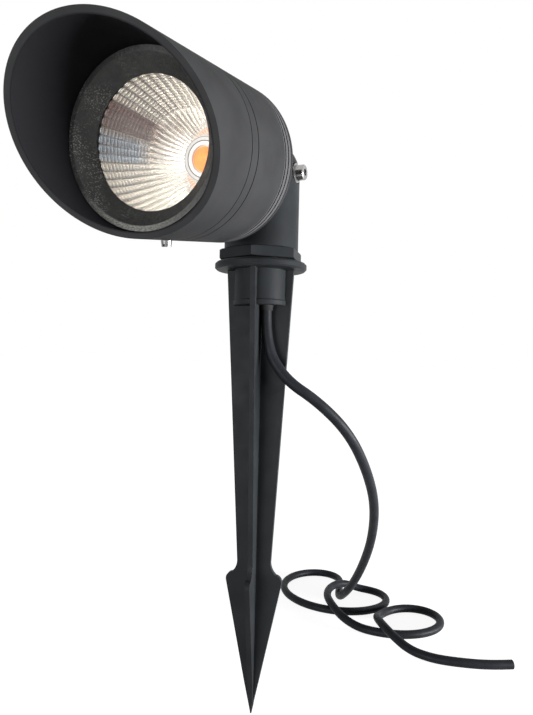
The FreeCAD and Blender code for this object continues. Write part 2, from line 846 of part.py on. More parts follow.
def led_holder():
    shape = ring(holder_radius, holder_window, seat_face, holder_top())
    shape = shape.cut(cylinder(board_radius + bore_gap, seat_face - 1, board_top()))
    for x, y in holder_screw_places():
        shape = shape.cut(cylinder(holder_screw_radius + bore_gap, seat_face - 1, holder_top() + 1, x, y))
    return shape


def holder_screws():
    screws = []
    top = holder_top()
    for x, y in holder_screw_places():
        screw = cylinder(holder_screw_head_radius, top, top + holder_screw_head, x, y)
        screw = screw.fuse(cylinder(holder_screw_radius, top - holder_screw_length, top, x, y))
        slot = Part.makeBox(2 * holder_screw_head_radius, slot_width, 2 * holder_slot_depth,
                            V(x - holder_screw_head_radius, y - slot_width / 2,
                              top + holder_screw_head - holder_slot_depth))
        screws.append(screw.cut(slot))
    return Part.makeCompound(screws)


def led_wires():
    wires = []
    height = seat_face + led_wire_height
    for side in (-1, 1):
        wires.append(wire([V(side * led_wire_offset, 0, driver_seat() + driver_thickness),
                           V(side * led_wire_offset, 0, height),
                           V(side * holder_radius, 0, height)], led_wire_bend, led_wire_radius))
    return Part.makeCompound(wires)


def glass_front():
    return spigot_end - glass_sink


def glass_back():
    return glass_front() - glass_thickness


def reflector():
    low = holder_top()
    top = glass_back()
    flange_low = top - reflector_flange
    flange_edge = front_bore - reflector_gap
    bow = math.sqrt((reflector_throat ** 2 + reflector_mouth ** 2) / 2)
    return lathe([
        (reflector_throat, low), (reflector_throat + reflector_wall, low),
        ((bow + reflector_wall, (low + flange_low) / 2), (reflector_mouth + reflector_wall, flange_low)),
        (flange_edge, flange_low), (flange_edge, top), (reflector_mouth, top),
        ((bow, (low + top) / 2), (reflector_throat, low))])


def glass_gasket():
    return ring(glass_radius, opening_radius + gasket_inset, glass_front(),
                glass_front() + gasket_thickness)


def front_glass():
    return cylinder(glass_radius, glass_back(), glass_front())


def baffle_ring():
    outer = hood_bore - baffle_gap
    hold_back = glass_front() + gasket_thickness
    cone_back = hold_back + baffle_throat
    return lathe([
        (glass_radius + skirt_gap, glass_back()), (front_bore - skirt_gap, glass_back()),
        (front_bore - skirt_gap, spigot_end), (outer, spigot_end), (outer, baffle_front),
        (outer - baffle_lip, baffle_front), (opening_radius, cone_back),
        (opening_radius, hold_back), (glass_radius + skirt_gap, hold_back)])


# ---- hood ----
def hood():
    reach = hood_middle + 2 * head_radius
    tube_shape = ring(head_radius, hood_bore, shoulder, reach)
    line_low = shoulder + hood_line_ahead
    tube_shape = tube_shape.cut(ring(head_radius + 1, head_radius - hood_line_depth,
                                     line_low, line_low + hood_line_width))
    size = 4 * head_radius
    keep = Part.makeBox(2 * size, 2 * size, size, V(-size, -size, -size))
    keep.rotate(V(0, 0, 0), V(1, 0, 0), math.degrees(math.atan(hood_slant)))
    keep.rotate(V(0, 0, 0), V(0, 0, 1), hood_turn)
    keep.translate(V(0, 0, hood_middle))
    hole = set_screw_pin(set_screw_radius + bore_gap, head_radius + 1)
    return tube_shape.common(keep).cut(turned(hole, -set_screw_turn))


def set_screw_pin(radius, top):
    """Pin straight below the lamp, from the groove in the spigot outwards."""
    foot = spigot_radius - set_groove_depth + set_screw_tip_gap
    return Part.makeCylinder(radius, top - foot, V(0, -foot, set_screw_place), V(0, -1, 0))


def hood_set_screw():
    top = head_radius + set_screw_head
    head = Part.makeCone(set_screw_head_radius, set_screw_head_radius * set_screw_taper, set_screw_head,
                         V(0, -head_radius - set_screw_head_gap, set_screw_place), V(0, -1, 0))
    slot = Part.makeBox(slot_width, 2 * set_slot_depth, 2 * set_screw_head_radius,
                        V(-slot_width / 2, -top - set_slot_depth, set_screw_place - set_screw_head_radius))
    screw = set_screw_pin(set_screw_radius, top).fuse(head).cut(slot)
    return turned(screw, -set_screw_turn)


row_pieces = {
    "stake": stake,
    "lock_collar": lock_collar,
    "cable_bush": cable_bush,
    "cable_inner": cable_inner,
    "cable_cores": cable_cores,
    "cable_drop": cable_drop,
    "cable_loops": cable_loops,
    "cable_tail": cable_tail,
    "neck": neck,
    "stub_ring": stub_ring,
    "pivot_bolt": pivot_bolt,
    "pivot_nut": pivot_nut,
    "pivot_washers": pivot_washers,
    "tilt_washers": tilt_washers,
    "neck_wires": neck_wires,
}
head_pieces = {
    "rear_cap": rear_cap,
    "rear_seal": rear_seal,
    "cap_screws": cap_screws,
    "driver_board": driver_board,
    "driver_screws": driver_screws,
    "driver_coil": driver_coil,
    "driver_capacitors": driver_capacitors,
    "driver_chips": driver_chips,
    "wire_grommet": wire_grommet,
    "supply_wires": supply_wires,
    "lamp_body": lamp_body,
    "thermal_pad": thermal_pad,
    "led_board": led_board,
    "led_phosphor": led_phosphor,
    "led_holder": led_holder,
    "holder_screws": holder_screws,
    "led_wires": led_wires,
    "reflector": reflector,
    "glass_gasket": glass_gasket,
    "front_glass": front_glass,
    "baffle_ring": baffle_ring,
    "hood": hood,
    "hood_set_screw": hood_set_screw,
}

os.makedirs("parts", exist_ok=True)
for name, make in row_pieces.items():
    make().exportStep("parts/%s.step" % name)
for name, make in head_pieces.items():
    in_head(make()).exportStep("parts/%s.step" % name)
print("%d parts written" % (len(row_pieces) + len(head_pieces)))
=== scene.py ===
# %% [markdown]
# # A garden spike spotlight
# The solids come from a imported CAD model, and this lesson dresses them for a picture.
# Loading first gives every solid as an object at the origin, with its place moved into its mesh.

# %% Load the frame
import bpy
import json
import math
from mathutils import Matrix, Vector


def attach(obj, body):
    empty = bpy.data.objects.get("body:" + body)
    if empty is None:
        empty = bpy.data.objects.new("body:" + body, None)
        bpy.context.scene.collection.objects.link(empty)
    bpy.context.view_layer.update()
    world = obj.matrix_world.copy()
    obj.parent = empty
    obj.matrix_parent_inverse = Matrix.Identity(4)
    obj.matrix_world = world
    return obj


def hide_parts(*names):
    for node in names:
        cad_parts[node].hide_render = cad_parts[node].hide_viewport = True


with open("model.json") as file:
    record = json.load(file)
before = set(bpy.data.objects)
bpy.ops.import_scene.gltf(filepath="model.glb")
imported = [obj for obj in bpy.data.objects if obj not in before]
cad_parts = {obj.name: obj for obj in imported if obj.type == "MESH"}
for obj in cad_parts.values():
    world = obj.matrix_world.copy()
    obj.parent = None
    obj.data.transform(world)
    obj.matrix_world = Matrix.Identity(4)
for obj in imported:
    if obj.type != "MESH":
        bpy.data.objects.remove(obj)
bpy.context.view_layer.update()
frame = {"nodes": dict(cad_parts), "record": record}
nodes = frame["nodes"]
mm = 0.001

# %% [markdown]
# ## The camera
# The photograph was taken from in front and to the lamp's left, level with the upper part of the stake.
# A camera can be placed by its own three directions: to its right, up, and straight back.
# That is easier to match to a photograph than turning it by eye, so the matrix is written out.

# %% Place the camera
to_right = Vector((0.9186, 0.3944, 0.0227)).normalized()
looking = Vector((-0.3945, 0.9189, 0.0)).normalized()
upwards = to_right.cross(looking).normalized()
camera_place = (0.1184, -0.2666, 0.1674)
camera_data = bpy.data.cameras.new("camera")
camera_data.lens = 31.2
camera_data.clip_start = 0.01
camera = bpy.data.objects.new("camera", camera_data)
bpy.context.scene.collection.objects.link(camera)
camera.matrix_world = Matrix((
    (to_right.x, upwards.x, -looking.x, camera_place[0]),
    (to_right.y, upwards.y, -looking.y, camera_place[1]),
    (to_right.z, upwards.z, -looking.z, camera_place[2]),
    (0, 0, 0, 1)))
bpy.context.scene.camera = camera
print("camera at", camera_place, "with a lens of", round(camera_data.lens, 1), "mm")

# %% [markdown]
# ## The route of the cable
# A real cable is one piece, so it is one curve. It leaves the stake pointing down, swings out
# to the side and falls to the ground, and then lies in loose loops that lift over each other.
# The corners below are the same as the CAD tube's, in millimetres: to the right in the camera's
# view, away from it, and up. A smooth curve that treats them as control points rounds each one
# by itself, so nothing has to be rounded by hand.

# %% The cable's corners
cable_radius = 2.5 * mm
lying = 2.5                  # height of the cable's middle where it lies on the ground
outlet_radius, outlet_turn, outlet_height = 6.0, math.radians(-36), 189.1
outlet = Vector((outlet_radius * math.cos(outlet_turn), outlet_radius * math.sin(outlet_turn),
                 outlet_height)) * mm
view_right = Vector((0.9186, 0.3944, 0))
view_back = Vector((-0.3945, 0.9189, 0))
drop_corners = [
    (12.0, -8.4, 157.7), (28.0, -9.0, 147.5), (43.0, -3.0, 132.9), (54.0, 11.0, 113.3),
    (62.0, 31.0, 91.9), (65.0, 55.0, 66.8), (63.5, 81.0, 41.4), (60.0, 108.0, 18.7)]
tail_end = (142.0, 47.5, lying)


def corner(right, back, height):
    return (view_right * right + view_back * back + Vector((0, 0, height))) * mm


print("corners in the drop:", len(drop_corners))

# %% [markdown]
# The loops are a circle that drifts sideways while it turns, which is how a springy cable falls.
# A formula gives any number of points on it. Near each crossing the height rises and falls again.
# Places on the loops are told in degrees turned.

# %% The loops as a formula
loop_radius, loop_step = 28.0, 43.0         # the step is how far a loop drifts in one turn
loop_start, loop_end = 140.0, 1130.0
drift_way = math.radians(-26.1)
ahead = Vector((math.cos(drift_way), math.sin(drift_way), 0))
across = Vector((-math.sin(drift_way), math.cos(drift_way), 0))
first_loop = Vector((-30.1, 164.1, 0))      # the middle of the first loop
humps = [(618.0, 682.4), (1038.0, 1047.0)]  # where the cable runs over itself
hump_height, hump_half = 6.2, 50.0          # a rise in millimetres, over this many degrees each way


def loop_point(degrees):
    angle = math.radians(degrees)
    drift = loop_step * (degrees - 180) / 360
    height = lying
    for first, last in humps:
        away = max(first - degrees, degrees - last, 0) / hump_half
        if away < 1:
            height += hump_height * (1 + math.cos(math.pi * away)) / 2
    flat = first_loop + ahead * (drift + loop_radius * math.sin(angle))
    flat = flat - across * (loop_radius * math.cos(angle))
    return Vector((flat.x, flat.y, height)) * mm


def loop_way(degrees, nudge=0.01):
    """The direction in which the cable runs at this place."""
    return (loop_point(degrees + nudge) - loop_point(degrees - nudge)).normalized()


print("turns in the loops:", (loop_end - loop_start) / 360)

# %% [markdown]
# The route joins the drop, the loops and the tail. A short straight length before and after the
# loops leads the smooth curve into them and out of them without a kink.

# %% The whole route
straight_down, lead_in, lead_out = 16.1, 32, 18
loop_steps = 45
route = [outlet, outlet - Vector((0, 0, straight_down * mm))]
route += [corner(*place) for place in drop_corners]
route.append(loop_point(loop_start) - loop_way(loop_start) * lead_in * mm)
for step in range(loop_steps + 1):
    route.append(loop_point(loop_start + (loop_end - loop_start) * step / loop_steps))
route.append(loop_point(loop_end) + loop_way(loop_end) * lead_out * mm)
route.append(corner(*tail_end))
print("points in the route:", len(route))

# %% [markdown]
# A NURBS spline of order 3 runs smoothly past its control points. The order is set after the points
# exist, because before that there is nothing to set it on. The bevel gives the curve its thickness.
# It is multiplied by the radius of each point, and that radius also widens the curve's box. So the
# points are thin and the bevel is thick, which gives the same cable in a tight box.

# %% Draw the cable
thin = 0.001
cable_data = bpy.data.curves.new("cable", "CURVE")
cable_data.dimensions = "3D"
cable_data.bevel_depth = cable_radius / thin
cable_data.bevel_resolution = 8
cable_data.use_fill_caps = True
line = cable_data.splines.new("NURBS")
line.points.add(len(route) - 1)
for point, place in zip(line.points, route):
    point.co = (*place, 1)
    point.radius = thin
line.order_u = 3
line.use_endpoint_u = True
line.resolution_u = 10
cable = bpy.data.objects.new("supply_cable", cable_data)
bpy.context.scene.collection.objects.link(cable)
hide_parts("cable_drop", "cable_loops", "cable_tail")
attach(cable, "stake")
print("cable drawn through", len(line.points), "points")

# %% [markdown]
# ## Finishes
# A finish is a small network of shader nodes, and the same few steps come back in each. So each step
# is a helper: add a node, feed a socket, calculate with sockets, and stretch a mask between two
# values. The helpers work on anything that has nodes, so the world can use them later too.

# %% Helpers for shader nodes
def add(material, kind, **values):
    """A new node. A value goes to the node's own setting, or else to the input with that name."""
    node = material.node_tree.nodes.new(kind)
    for key, value in values.items():
        if hasattr(node, key):
            setattr(node, key, value)
        else:
            node.inputs[key.replace("_", " ")].default_value = value
    return node


def feed(material, value, target):
    """Links a socket to the target, or sets the target to a number or to a colour."""
    if isinstance(value, bpy.types.NodeSocket):
        material.node_tree.links.new(value, target)
    elif isinstance(value, tuple):
        target.default_value = (*value, 1)
    else:
        target.default_value = value


def math_node(material, operation, *values):
    """One step of arithmetic on sockets and numbers."""
    node = add(material, "ShaderNodeMath", operation=operation)
    for value, target in zip(values, node.inputs):
        feed(material, value, target)
    return node.outputs[0]


def product(material, mask, *others):
    """Masks multiplied together."""
    for other in others:
        mask = math_node(material, "MULTIPLY", mask, other)
    return mask


def spread(material, source, low, high, start=0.3, end=0.7):
    """A mask that goes from low to high while the source goes from start to end."""
    ramp = add(material, "ShaderNodeMapRange", From_Min=start, From_Max=end, To_Min=low, To_Max=high)
    feed(material, source, ramp.inputs["Value"])
    return ramp.outputs["Result"]


def blend_colours(material, factor, first, second):
    """The first colour where the factor is 0, and the second where it is 1."""
    mix = add(material, "ShaderNodeMix", data_type="RGBA")
    # A mix node has an input A and B for each kind of data, so the colours' own go by number.
    for value, target in ((factor, mix.inputs[0]), (first, mix.inputs[6]), (second, mix.inputs[7])):
        feed(material, value, target)
    return mix.outputs[2]


# %% [markdown]
# Nearly every finish here is one shader with three kinds of unevenness: colour that drifts a little,
# gloss that drifts a little faster, and a fine grain in the surface. A helper builds that much, and
# each finish then gets what is special to it. Object coordinates keep the grain still on the part.

# %% A helper for finishes
def shader_of(material):
    return material.node_tree.nodes["Principled BSDF"]


def object_place(material):
    return add(material, "ShaderNodeTexCoord").outputs["Object"]


def noise(material, size, detail=3.0):
    """A noise whose features are about size millimetres across."""
    texture = add(material, "ShaderNodeTexNoise", Scale=1 / (size * mm), Detail=detail)
    feed(material, object_place(material), texture.inputs["Vector"])
    return texture.outputs["Fac"]


def finish(name, dark, light, gloss, drift=12.0, grain=0.4, bump=0.1, depth=0.05, metal=0.0,
           specular=0.5):
    """A finish between two colours and two roughnesses. Drift, grain and depth are in millimetres."""
    material = bpy.data.materials.new(name)
    material.use_nodes = True
    inputs = shader_of(material).inputs
    inputs["Metallic"].default_value = metal
    inputs["Specular IOR Level"].default_value = specular
    colour = blend_colours(material, spread(material, noise(material, drift), 0, 1), dark, light)
    feed(material, colour, inputs["Base Color"])
    feed(material, spread(material, noise(material, drift / 3), *gloss), inputs["Roughness"])
    raised = add(material, "ShaderNodeBump", Strength=bump, Distance=depth * mm)
    feed(material, noise(material, grain, detail=4), raised.inputs["Height"])
    feed(material, raised.outputs["Normal"], inputs["Normal"])
    return material


def grey(level):
    return (level, level, level)


# %% [markdown]
# ### Black plastics, coats and rubbers
# The stake and neck are moulded plastic with a soft sheen. The lamp is powder coated metal, a little
# lighter, with a very fine orange peel. The cable and seals are matte rubber. All are black, and
# what tells them apart is how broad the highlight is and how coarse the grain is. A powder coat
# hardly reflects at a low angle, so its specular level is nearly nothing.

# %% The black finishes
coat = dict(dark=(0.0262, 0.0265, 0.0275), light=(0.0335, 0.034, 0.035), gloss=(0.42, 0.50),
            drift=16, grain=0.3, bump=0.22, depth=0.03, specular=0.002)
black_coat = finish("black_powder_coat", **coat)
black_plastic = finish("moulded_black_plastic", (0.012, 0.0133, 0.0146), (0.0185, 0.0205, 0.0225),
                       (0.42, 0.54), drift=20, grain=0.35, bump=0.12, depth=0.04, specular=0.05)
cable_rubber = finish("cable_rubber", (0.007, 0.008, 0.010), (0.012, 0.0135, 0.0165),
                      (0.42, 0.55), drift=6, grain=0.25, bump=0.2, depth=0.03, specular=0.08)
seal_rubber = finish("seal_rubber", grey(0.012), grey(0.022),
                     (0.6, 0.75), drift=4, grain=0.3, bump=0.3, depth=0.04, specular=0.08)
print("black finishes:", [m.name for m in (black_coat, black_plastic, cable_rubber, seal_rubber)])

# %% [markdown]
# A moulded edge is never sharp, and the small round along it catches a line of light. The solids
# keep their exact edges, so the round is only in the shading: a bevel node bends the normal near
# each edge, and the grain is laid over that.

# %% The soft edges of the plastic
edge_round = 0.35
soft_edge = add(black_plastic, "ShaderNodeBevel", Radius=edge_round * mm)
for node in black_plastic.node_tree.nodes:
    if node.bl_idname == "ShaderNodeBump":
        feed(black_plastic, soft_edge.outputs["Normal"], node.inputs["Normal"])
print("edges rounded by", edge_round, "mm")

# %% [markdown]
# ### Finishes that follow the lamp's axis
# Some finishes change with the place on the tipped lamp. A texture mapping turns the object's
# coordinates into the lamp's own, in millimetres, with Z along the lamp from its tilt pivot and Y
# on its upper side. The length of what is left after Z is dropped is the distance from the axis.

# %% Places on the lamp
tip = math.radians(90 + 9.0)                # upright to level, and 9 degrees below that
pivot = Vector((0, 0, 252.5)) * mm


def place_on_lamp(material):
    own = add(material, "ShaderNodeMapping", vector_type="TEXTURE",
              Location=pivot, Rotation=(tip, 0, 0), Scale=(mm, mm, mm))
    feed(material, object_place(material), own.inputs["Vector"])
    return own.outputs["Vector"]


def length_of(material, vector):
    length = add(material, "ShaderNodeVectorMath", operation="LENGTH")
    feed(material, vector, length.inputs[0])
    return length.outputs["Value"]


def from_axis(material):
    flat = add(material, "ShaderNodeVectorMath", operation="MULTIPLY")
    flat.inputs[1].default_value = (1, 1, 0)
    feed(material, place_on_lamp(material), flat.inputs[0])
    return length_of(material, flat.outputs["Vector"])


def along(material, axis):
    split = add(material, "ShaderNodeSeparateXYZ")
    feed(material, place_on_lamp(material), split.inputs["Vector"])
    return split.outputs[axis]


def tint(material, factor, colour):
    """Mixes one more colour over what already goes into the base colour."""
    base = shader_of(material).inputs["Base Color"]
    feed(material, blend_colours(material, factor, base.links[0].from_socket, colour), base)


print("pivot of the lamp:", tuple(round(v, 4) for v in pivot))

# %% [markdown]
# ### The sand coat
# The ring behind the mouth has a coarse coat that keeps stray light from bouncing, and it sparkles.
# A rough grain breaks up the highlight. The sparkle is painted: cells of one size, thinned by a slower
# noise, pick out small bright specks of painted glint in uneven clusters, most of them on the left.

# %% The sand coat
sand_coat = finish("black_sand_coat", grey(0.010), (0.022, 0.022, 0.021),
                   (0.45, 0.62), drift=5, grain=0.32, bump=1.0, depth=0.30)
fleck_size, fleck_share = 0.30, 0.22
painted_glint_colour = (0.24, 0.24, 0.22)


def fleck(material, size, share):
    """A mask of random cells about size millimetres across."""
    cells = add(material, "ShaderNodeTexVoronoi", Scale=1 / (size * mm))
    feed(material, object_place(material), cells.inputs["Vector"])
    pick = add(material, "ShaderNodeSeparateColor")
    feed(material, cells.outputs["Color"], pick.inputs["Color"])
    return spread(material, pick.outputs["Red"], 0, 1, start=1 - share, end=1 - share / 3)


patches = spread(sand_coat, noise(sand_coat, 8), 0.05, 0.9, start=0.42, end=0.62)
left_side = spread(sand_coat, along(sand_coat, "X"), 1, 0.25, start=-22, end=-4)
painted_glints = product(sand_coat, fleck(sand_coat, fleck_size, fleck_share), patches, left_side)
# Painted glints: bright specks mixed into the coat's colour.
tint(sand_coat, painted_glints, painted_glint_colour)
print("share of cells that sparkle:", fleck_share)

# %% [markdown]
# The hood shades the right side of the ring, and that shade is painted into the coat there. A painted
# highlight lies on the lower part of its flat front edge, where light reflects off it.

# %% The ring's painted shade and the painted highlight on its front edge
painted_ring_shade, painted_lip_highlight = grey(0.005), (0.19, 0.19, 0.172)
ring_shade_mask = spread(sand_coat, along(sand_coat, "X"), 0, 0.85, start=4, end=14)
# Painted shade on the right side of the ring.
tint(sand_coat, ring_shade_mask, painted_ring_shade)
front_edge = spread(sand_coat, from_axis(sand_coat), 0, 1, start=26.9, end=27.3)
lower_side = spread(sand_coat, along(sand_coat, "Y"), 1, 0, start=-22, end=-12)
not_right = spread(sand_coat, along(sand_coat, "X"), 1, 0.2, start=0, end=14)
edge_grain = spread(sand_coat, noise(sand_coat, 0.5), 0.3, 1, start=0.4, end=0.6)
lip_highlight_mask = product(sand_coat, lower_side, not_right)
# Painted highlight on the lower left of the front edge, with a little grain.
tint(sand_coat, product(sand_coat, front_edge, lip_highlight_mask, edge_grain), painted_lip_highlight)
print("nodes in the sand coat:", len(sand_coat.node_tree.nodes))

# %% [markdown]
# ### The lamp's coats
# The body has the same coat as the hood. Inside its turned grooves no light gets far, so painted shade
# darkens the coat just below the outer surface and keeps them crisp, while the edges between them get a
# painted highlight, a little lighter. The hood's inside gets painted shade, a deeper black than its
# outside. Where hood and body meet, a dark line of painted shadow on both marks the joint.

# %% The grooved coat and the hood's two sides
painted_land_highlight, shadow, painted_hood_inside_shade = (0.085, 0.085, 0.088), grey(0.003), (0.0145, 0.0145, 0.0165)
groove_floor, groove_edge = 30.9, 31.25     # distances from the axis
grooves_end = 51.6                          # the grooves are nearer to the pivot than this
hood_bore = 29.4
body_end, hood_start = 75.6, 76.3           # the dark line of the joint lies between them
fade = 0.15


def lamp_coat(name, deep, shallow, colour):
    """The powder coat, with painted shade where a point is nearer to the axis than the outer surface."""
    material = finish(name, **coat)
    tint(material, spread(material, from_axis(material), 1, 0, start=deep, end=shallow), colour)
    return material


# Painted shade darkens the grooves.
grooved_coat = lamp_coat("grooved_black_coat", groove_floor, groove_edge, shadow)
outermost = spread(grooved_coat, from_axis(grooved_coat), 0, 1, start=groove_edge, end=groove_edge + fade)
at_grooves = spread(grooved_coat, along(grooved_coat, "Z"), 0.7, 0,
                    start=grooves_end, end=grooves_end + 2 * fade)
# Painted highlight on the outer surface between the grooves.
tint(grooved_coat, product(grooved_coat, outermost, at_grooves), painted_land_highlight)
# Painted shadow along the joint, on the body and then on the hood.
at_joint = spread(grooved_coat, along(grooved_coat, "Z"), 0, 1, start=body_end, end=body_end + fade)
tint(grooved_coat, at_joint, shadow)
# Painted shade on the hood's inside.
hood_coat = lamp_coat("hood_black_coat", hood_bore, hood_bore + 0.5, painted_hood_inside_shade)
at_joint = spread(hood_coat, along(hood_coat, "Z"), 1, 0, start=hood_start - fade, end=hood_start)
tint(hood_coat, at_joint, shadow)
print("joint line:", round(hood_start - body_end, 2), "mm wide")

# %% [markdown]
# ### Metals and the mirror
# Small screws are bright steel, and the hood's set screw has a darker copy of it as painted shade.
# The reflector is plastic with a mirror coat, so its base is nearly white and its roughness low. A
# real room would show in it as patches of colour; there is none here, so a few soft sectors of the
# bowl are tinted as painted reflections instead.

# %% Steel and the mirror coat
stainless = finish("stainless_steel", (0.30, 0.295, 0.29), (0.42, 0.415, 0.41), (0.20, 0.32),
                   drift=3, grain=0.2, bump=0.08, depth=0.02, metal=1.0)
# A darker copy of the steel: painted shade on the hood's set screw.
shaded_steel = finish("shaded_steel", grey(0.10), grey(0.22), (0.25, 0.40),
                    drift=1.5, grain=0.2, bump=0.08, depth=0.02, metal=1.0)
mirror_coat = finish("mirror_coat", (0.98, 0.96, 0.90), (1.0, 0.99, 0.94), (0.03, 0.06),
                     drift=9, grain=1.2, bump=0.04, depth=0.02, metal=0.82)


def clock(material):
    """Angle round the lamp's axis, clockwise from its upper side."""
    return math_node(material, "ARCTAN2", along(material, "X"), along(material, "Y"))


def sector(material, middle, half_width, strength, near, far):
    """A soft mask about one angle in degrees, growing from near to far of the axis."""
    away = math_node(material, "SUBTRACT", clock(material), math.radians(middle))
    width = math.radians(half_width)
    soft = spread(material, math_node(material, "ABSOLUTE", away), strength, 0,
                  start=0.6 * width, end=width)
    return product(material, soft, spread(material, from_axis(material), 0, 1, start=near, end=far))


painted_room_reflections = [((-57, 17, 0.90, 14, 17), (0.25, 0.11, 0.10)),
        ((-84, 15, 0.88, 16, 18.5), (0.57, 0.75, 1.0)),
        ((-74, 28, 0.40, 10, 13), (0.55, 0.52, 0.51)),
        ((155, 55, 0.60, 8, 12), (0.95, 0.76, 0.66))]
# Painted reflections: soft sectors of the bowl tinted in a room's colours.
for place, colour in painted_room_reflections:
    tint(mirror_coat, sector(mirror_coat, *place), colour)
print("tinted sectors:", len(painted_room_reflections))

# %% [markdown]
# Between the facets of the bowl a fine dark net of painted shade is drawn over the coat. The net follows
# the flutes round the axis and the bands along it, and it is faint on the lower side. The bands start
# at the mouth and get a little wider further in. Near the throat there are none.

# %% The net between the facets
flutes, bands, band_crowding = 48, 15, 0.9
mouth_height, smooth_height = 91.1, 70.0    # the bands lie between these heights
band_line, flute_line = 0.18, 0.12          # half widths, as shares of a band and of a flute
mouth_edge = 23.62                          # past this the mirror ends in a dark edge
painted_net_shade, mouth_colour = (0.05, 0.045, 0.045), grey(0.02)


def lines(material, position, half_width):
    """A mask of thin lines where the position is a whole number."""
    away = math_node(material, "PINGPONG", position, 0.5)
    return spread(material, away, 1, 0, start=half_width / 2, end=half_width)


from_mouth = math_node(mirror_coat, "SUBTRACT", mouth_height, along(mirror_coat, "Z"))
share_down = math_node(mirror_coat, "DIVIDE", from_mouth, mouth_height - smooth_height)
band_share = math_node(mirror_coat, "POWER", share_down, 1 / band_crowding)
band_lines = lines(mirror_coat, math_node(mirror_coat, "MULTIPLY", band_share, bands), band_line)
flute_place = math_node(mirror_coat, "MULTIPLY", clock(mirror_coat), flutes / math.tau)
net = math_node(mirror_coat, "MAXIMUM", band_lines, lines(mirror_coat, flute_place, flute_line))
upper_side = spread(mirror_coat, along(mirror_coat, "Y"), 0.12, 0.46, start=-12, end=0)
banded = spread(mirror_coat, along(mirror_coat, "Z"), 0, 1, start=smooth_height, end=smooth_height + 2)
# Painted shade: the dark net between the facets, fainter on the lower side.
tint(mirror_coat, product(mirror_coat, net, upper_side, banded), painted_net_shade)
at_mouth = spread(mirror_coat, from_axis(mirror_coat), 0, 1, start=mouth_edge, end=mouth_edge + 0.06)
tint(mirror_coat, at_mouth, mouth_colour)
print("facets under the net:", flutes * bands)

# %% [markdown]
# ### The light source
# The phosphor disc is orange when it is off, and a painted glow lifts it out of the shade.
# The holder's window has a pale lip, then a dark joint, and then a satin ring up to the bowl. All are
# turned on one axis, so the distance from the axis picks the colour.

# %% The phosphor, the board and the holder's rings
phosphor = finish("orange_phosphor", (0.95, 0.20, 0.02), (1.0, 0.30, 0.05), (0.5, 0.65),
                  drift=3, grain=0.15, bump=0.4, depth=0.05)
# A painted glow: the phosphor emits a little light, though the lamp is off.
feed(phosphor, (1.0, 0.24, 0.03), shader_of(phosphor).inputs["Emission Color"])
feed(phosphor, 0.35, shader_of(phosphor).inputs["Emission Strength"])
board_metal = finish("white_mask_board", (0.70, 0.70, 0.68), (0.78, 0.78, 0.76), (0.3, 0.4))
white_plastic = finish("white_plastic", (0.70, 0.67, 0.63), (0.80, 0.77, 0.73), (0.32, 0.42),
                       drift=4, grain=0.5)
holder_rings = finish("light_source_holder", (0.80, 0.77, 0.74), (0.88, 0.85, 0.82), (0.30, 0.40),
                      drift=4, grain=0.5)
distance = from_axis(holder_rings)
ring_edge = 0.08
ring_colours = [(6.7, (0.10, 0.09, 0.09)), (7.1, (0.62, 0.60, 0.58)), (8.2, (0.25, 0.24, 0.24)),
                (8.5, (0.70, 0.68, 0.66))]
for radius, colour in ring_colours:
    outside = spread(holder_rings, distance, 0, 1, start=radius, end=radius + ring_edge)
    tint(holder_rings, outside, colour)
print("rings round the light source:", len(ring_colours))

# %% [markdown]
# ### What is inside
# These finishes are seen only when the lamp is opened or taken apart, so plain ones do.

# %% Inner finishes
board_green = finish("green_board", (0.01, 0.09, 0.03), (0.015, 0.13, 0.05), (0.35, 0.45), drift=5)
can_metal = finish("capacitor_sleeve", (0.03, 0.04, 0.07), (0.04, 0.05, 0.09), (0.3, 0.4), drift=4)
coil_dark = finish("enamelled_coil", (0.16, 0.05, 0.015), (0.24, 0.08, 0.02), (0.3, 0.45), drift=2)
chip_black = finish("chip_body", grey(0.015), grey(0.025), (0.5, 0.6), drift=2)
pad_grey = finish("thermal_pad", (0.36, 0.37, 0.39), (0.44, 0.45, 0.47), (0.6, 0.75), drift=3)
core_brown = finish("core_insulation", (0.14, 0.03, 0.01), (0.2, 0.05, 0.02), (0.4, 0.5), drift=2)
inner_finishes = (board_green, can_metal, coil_dark, chip_black, pad_grey, core_brown)
print("inner finishes:", [m.name for m in inner_finishes])

# %% [markdown]
# ### Clear glass
# A thin flat pane hardly bends light, so the quickest honest glass is a faint, very smooth surface
# that lets nearly everything through. Low alpha does that and keeps its reflections.

# %% Clear glass
clear_glass = finish("clear_glass", (0.90, 0.94, 0.94), (0.93, 0.97, 0.97), (0.02, 0.04),
                     drift=30, grain=20, bump=0.01, depth=0.01)
feed(clear_glass, 0.04, shader_of(clear_glass).inputs["Alpha"])
print("finishes so far:", len(bpy.data.materials))

# %% [markdown]
# Each solid already has the right shape where it is turned, drilled or moulded simply, so it keeps
# its mesh and only gets a finish. The record's material slots say which finish belongs where, and
# four solids have a version of their own.

# %% Give the solids their finishes
by_slot = {
    "black_plastic": black_plastic, "black_coat": black_coat, "sand_coat": sand_coat,
    "cable_rubber": cable_rubber, "seal_rubber": seal_rubber, "stainless": stainless,
    "mirror_coat": mirror_coat, "clear_glass": clear_glass, "phosphor": phosphor,
    "white_plastic": white_plastic, "board_metal": board_metal, "board_green": board_green,
    "can_metal": can_metal, "coil_dark": coil_dark, "chip_black": chip_black,
    "pad_grey": pad_grey, "core_insulation": core_brown}
# The hood's set screw gets the darker copy of the steel, as painted shade.
of_its_own = {"lamp_body": grooved_coat, "hood": hood_coat, "led_holder": holder_rings,
              "hood_set_screw": shaded_steel}
for part in frame["record"]["subparts"]:
    mesh = nodes[part["node"]].data
    mesh.materials.clear()
    mesh.materials.append(of_its_own.get(part["node"], by_slot[part["material_slot"]]))
cable.data.materials.append(cable_rubber)

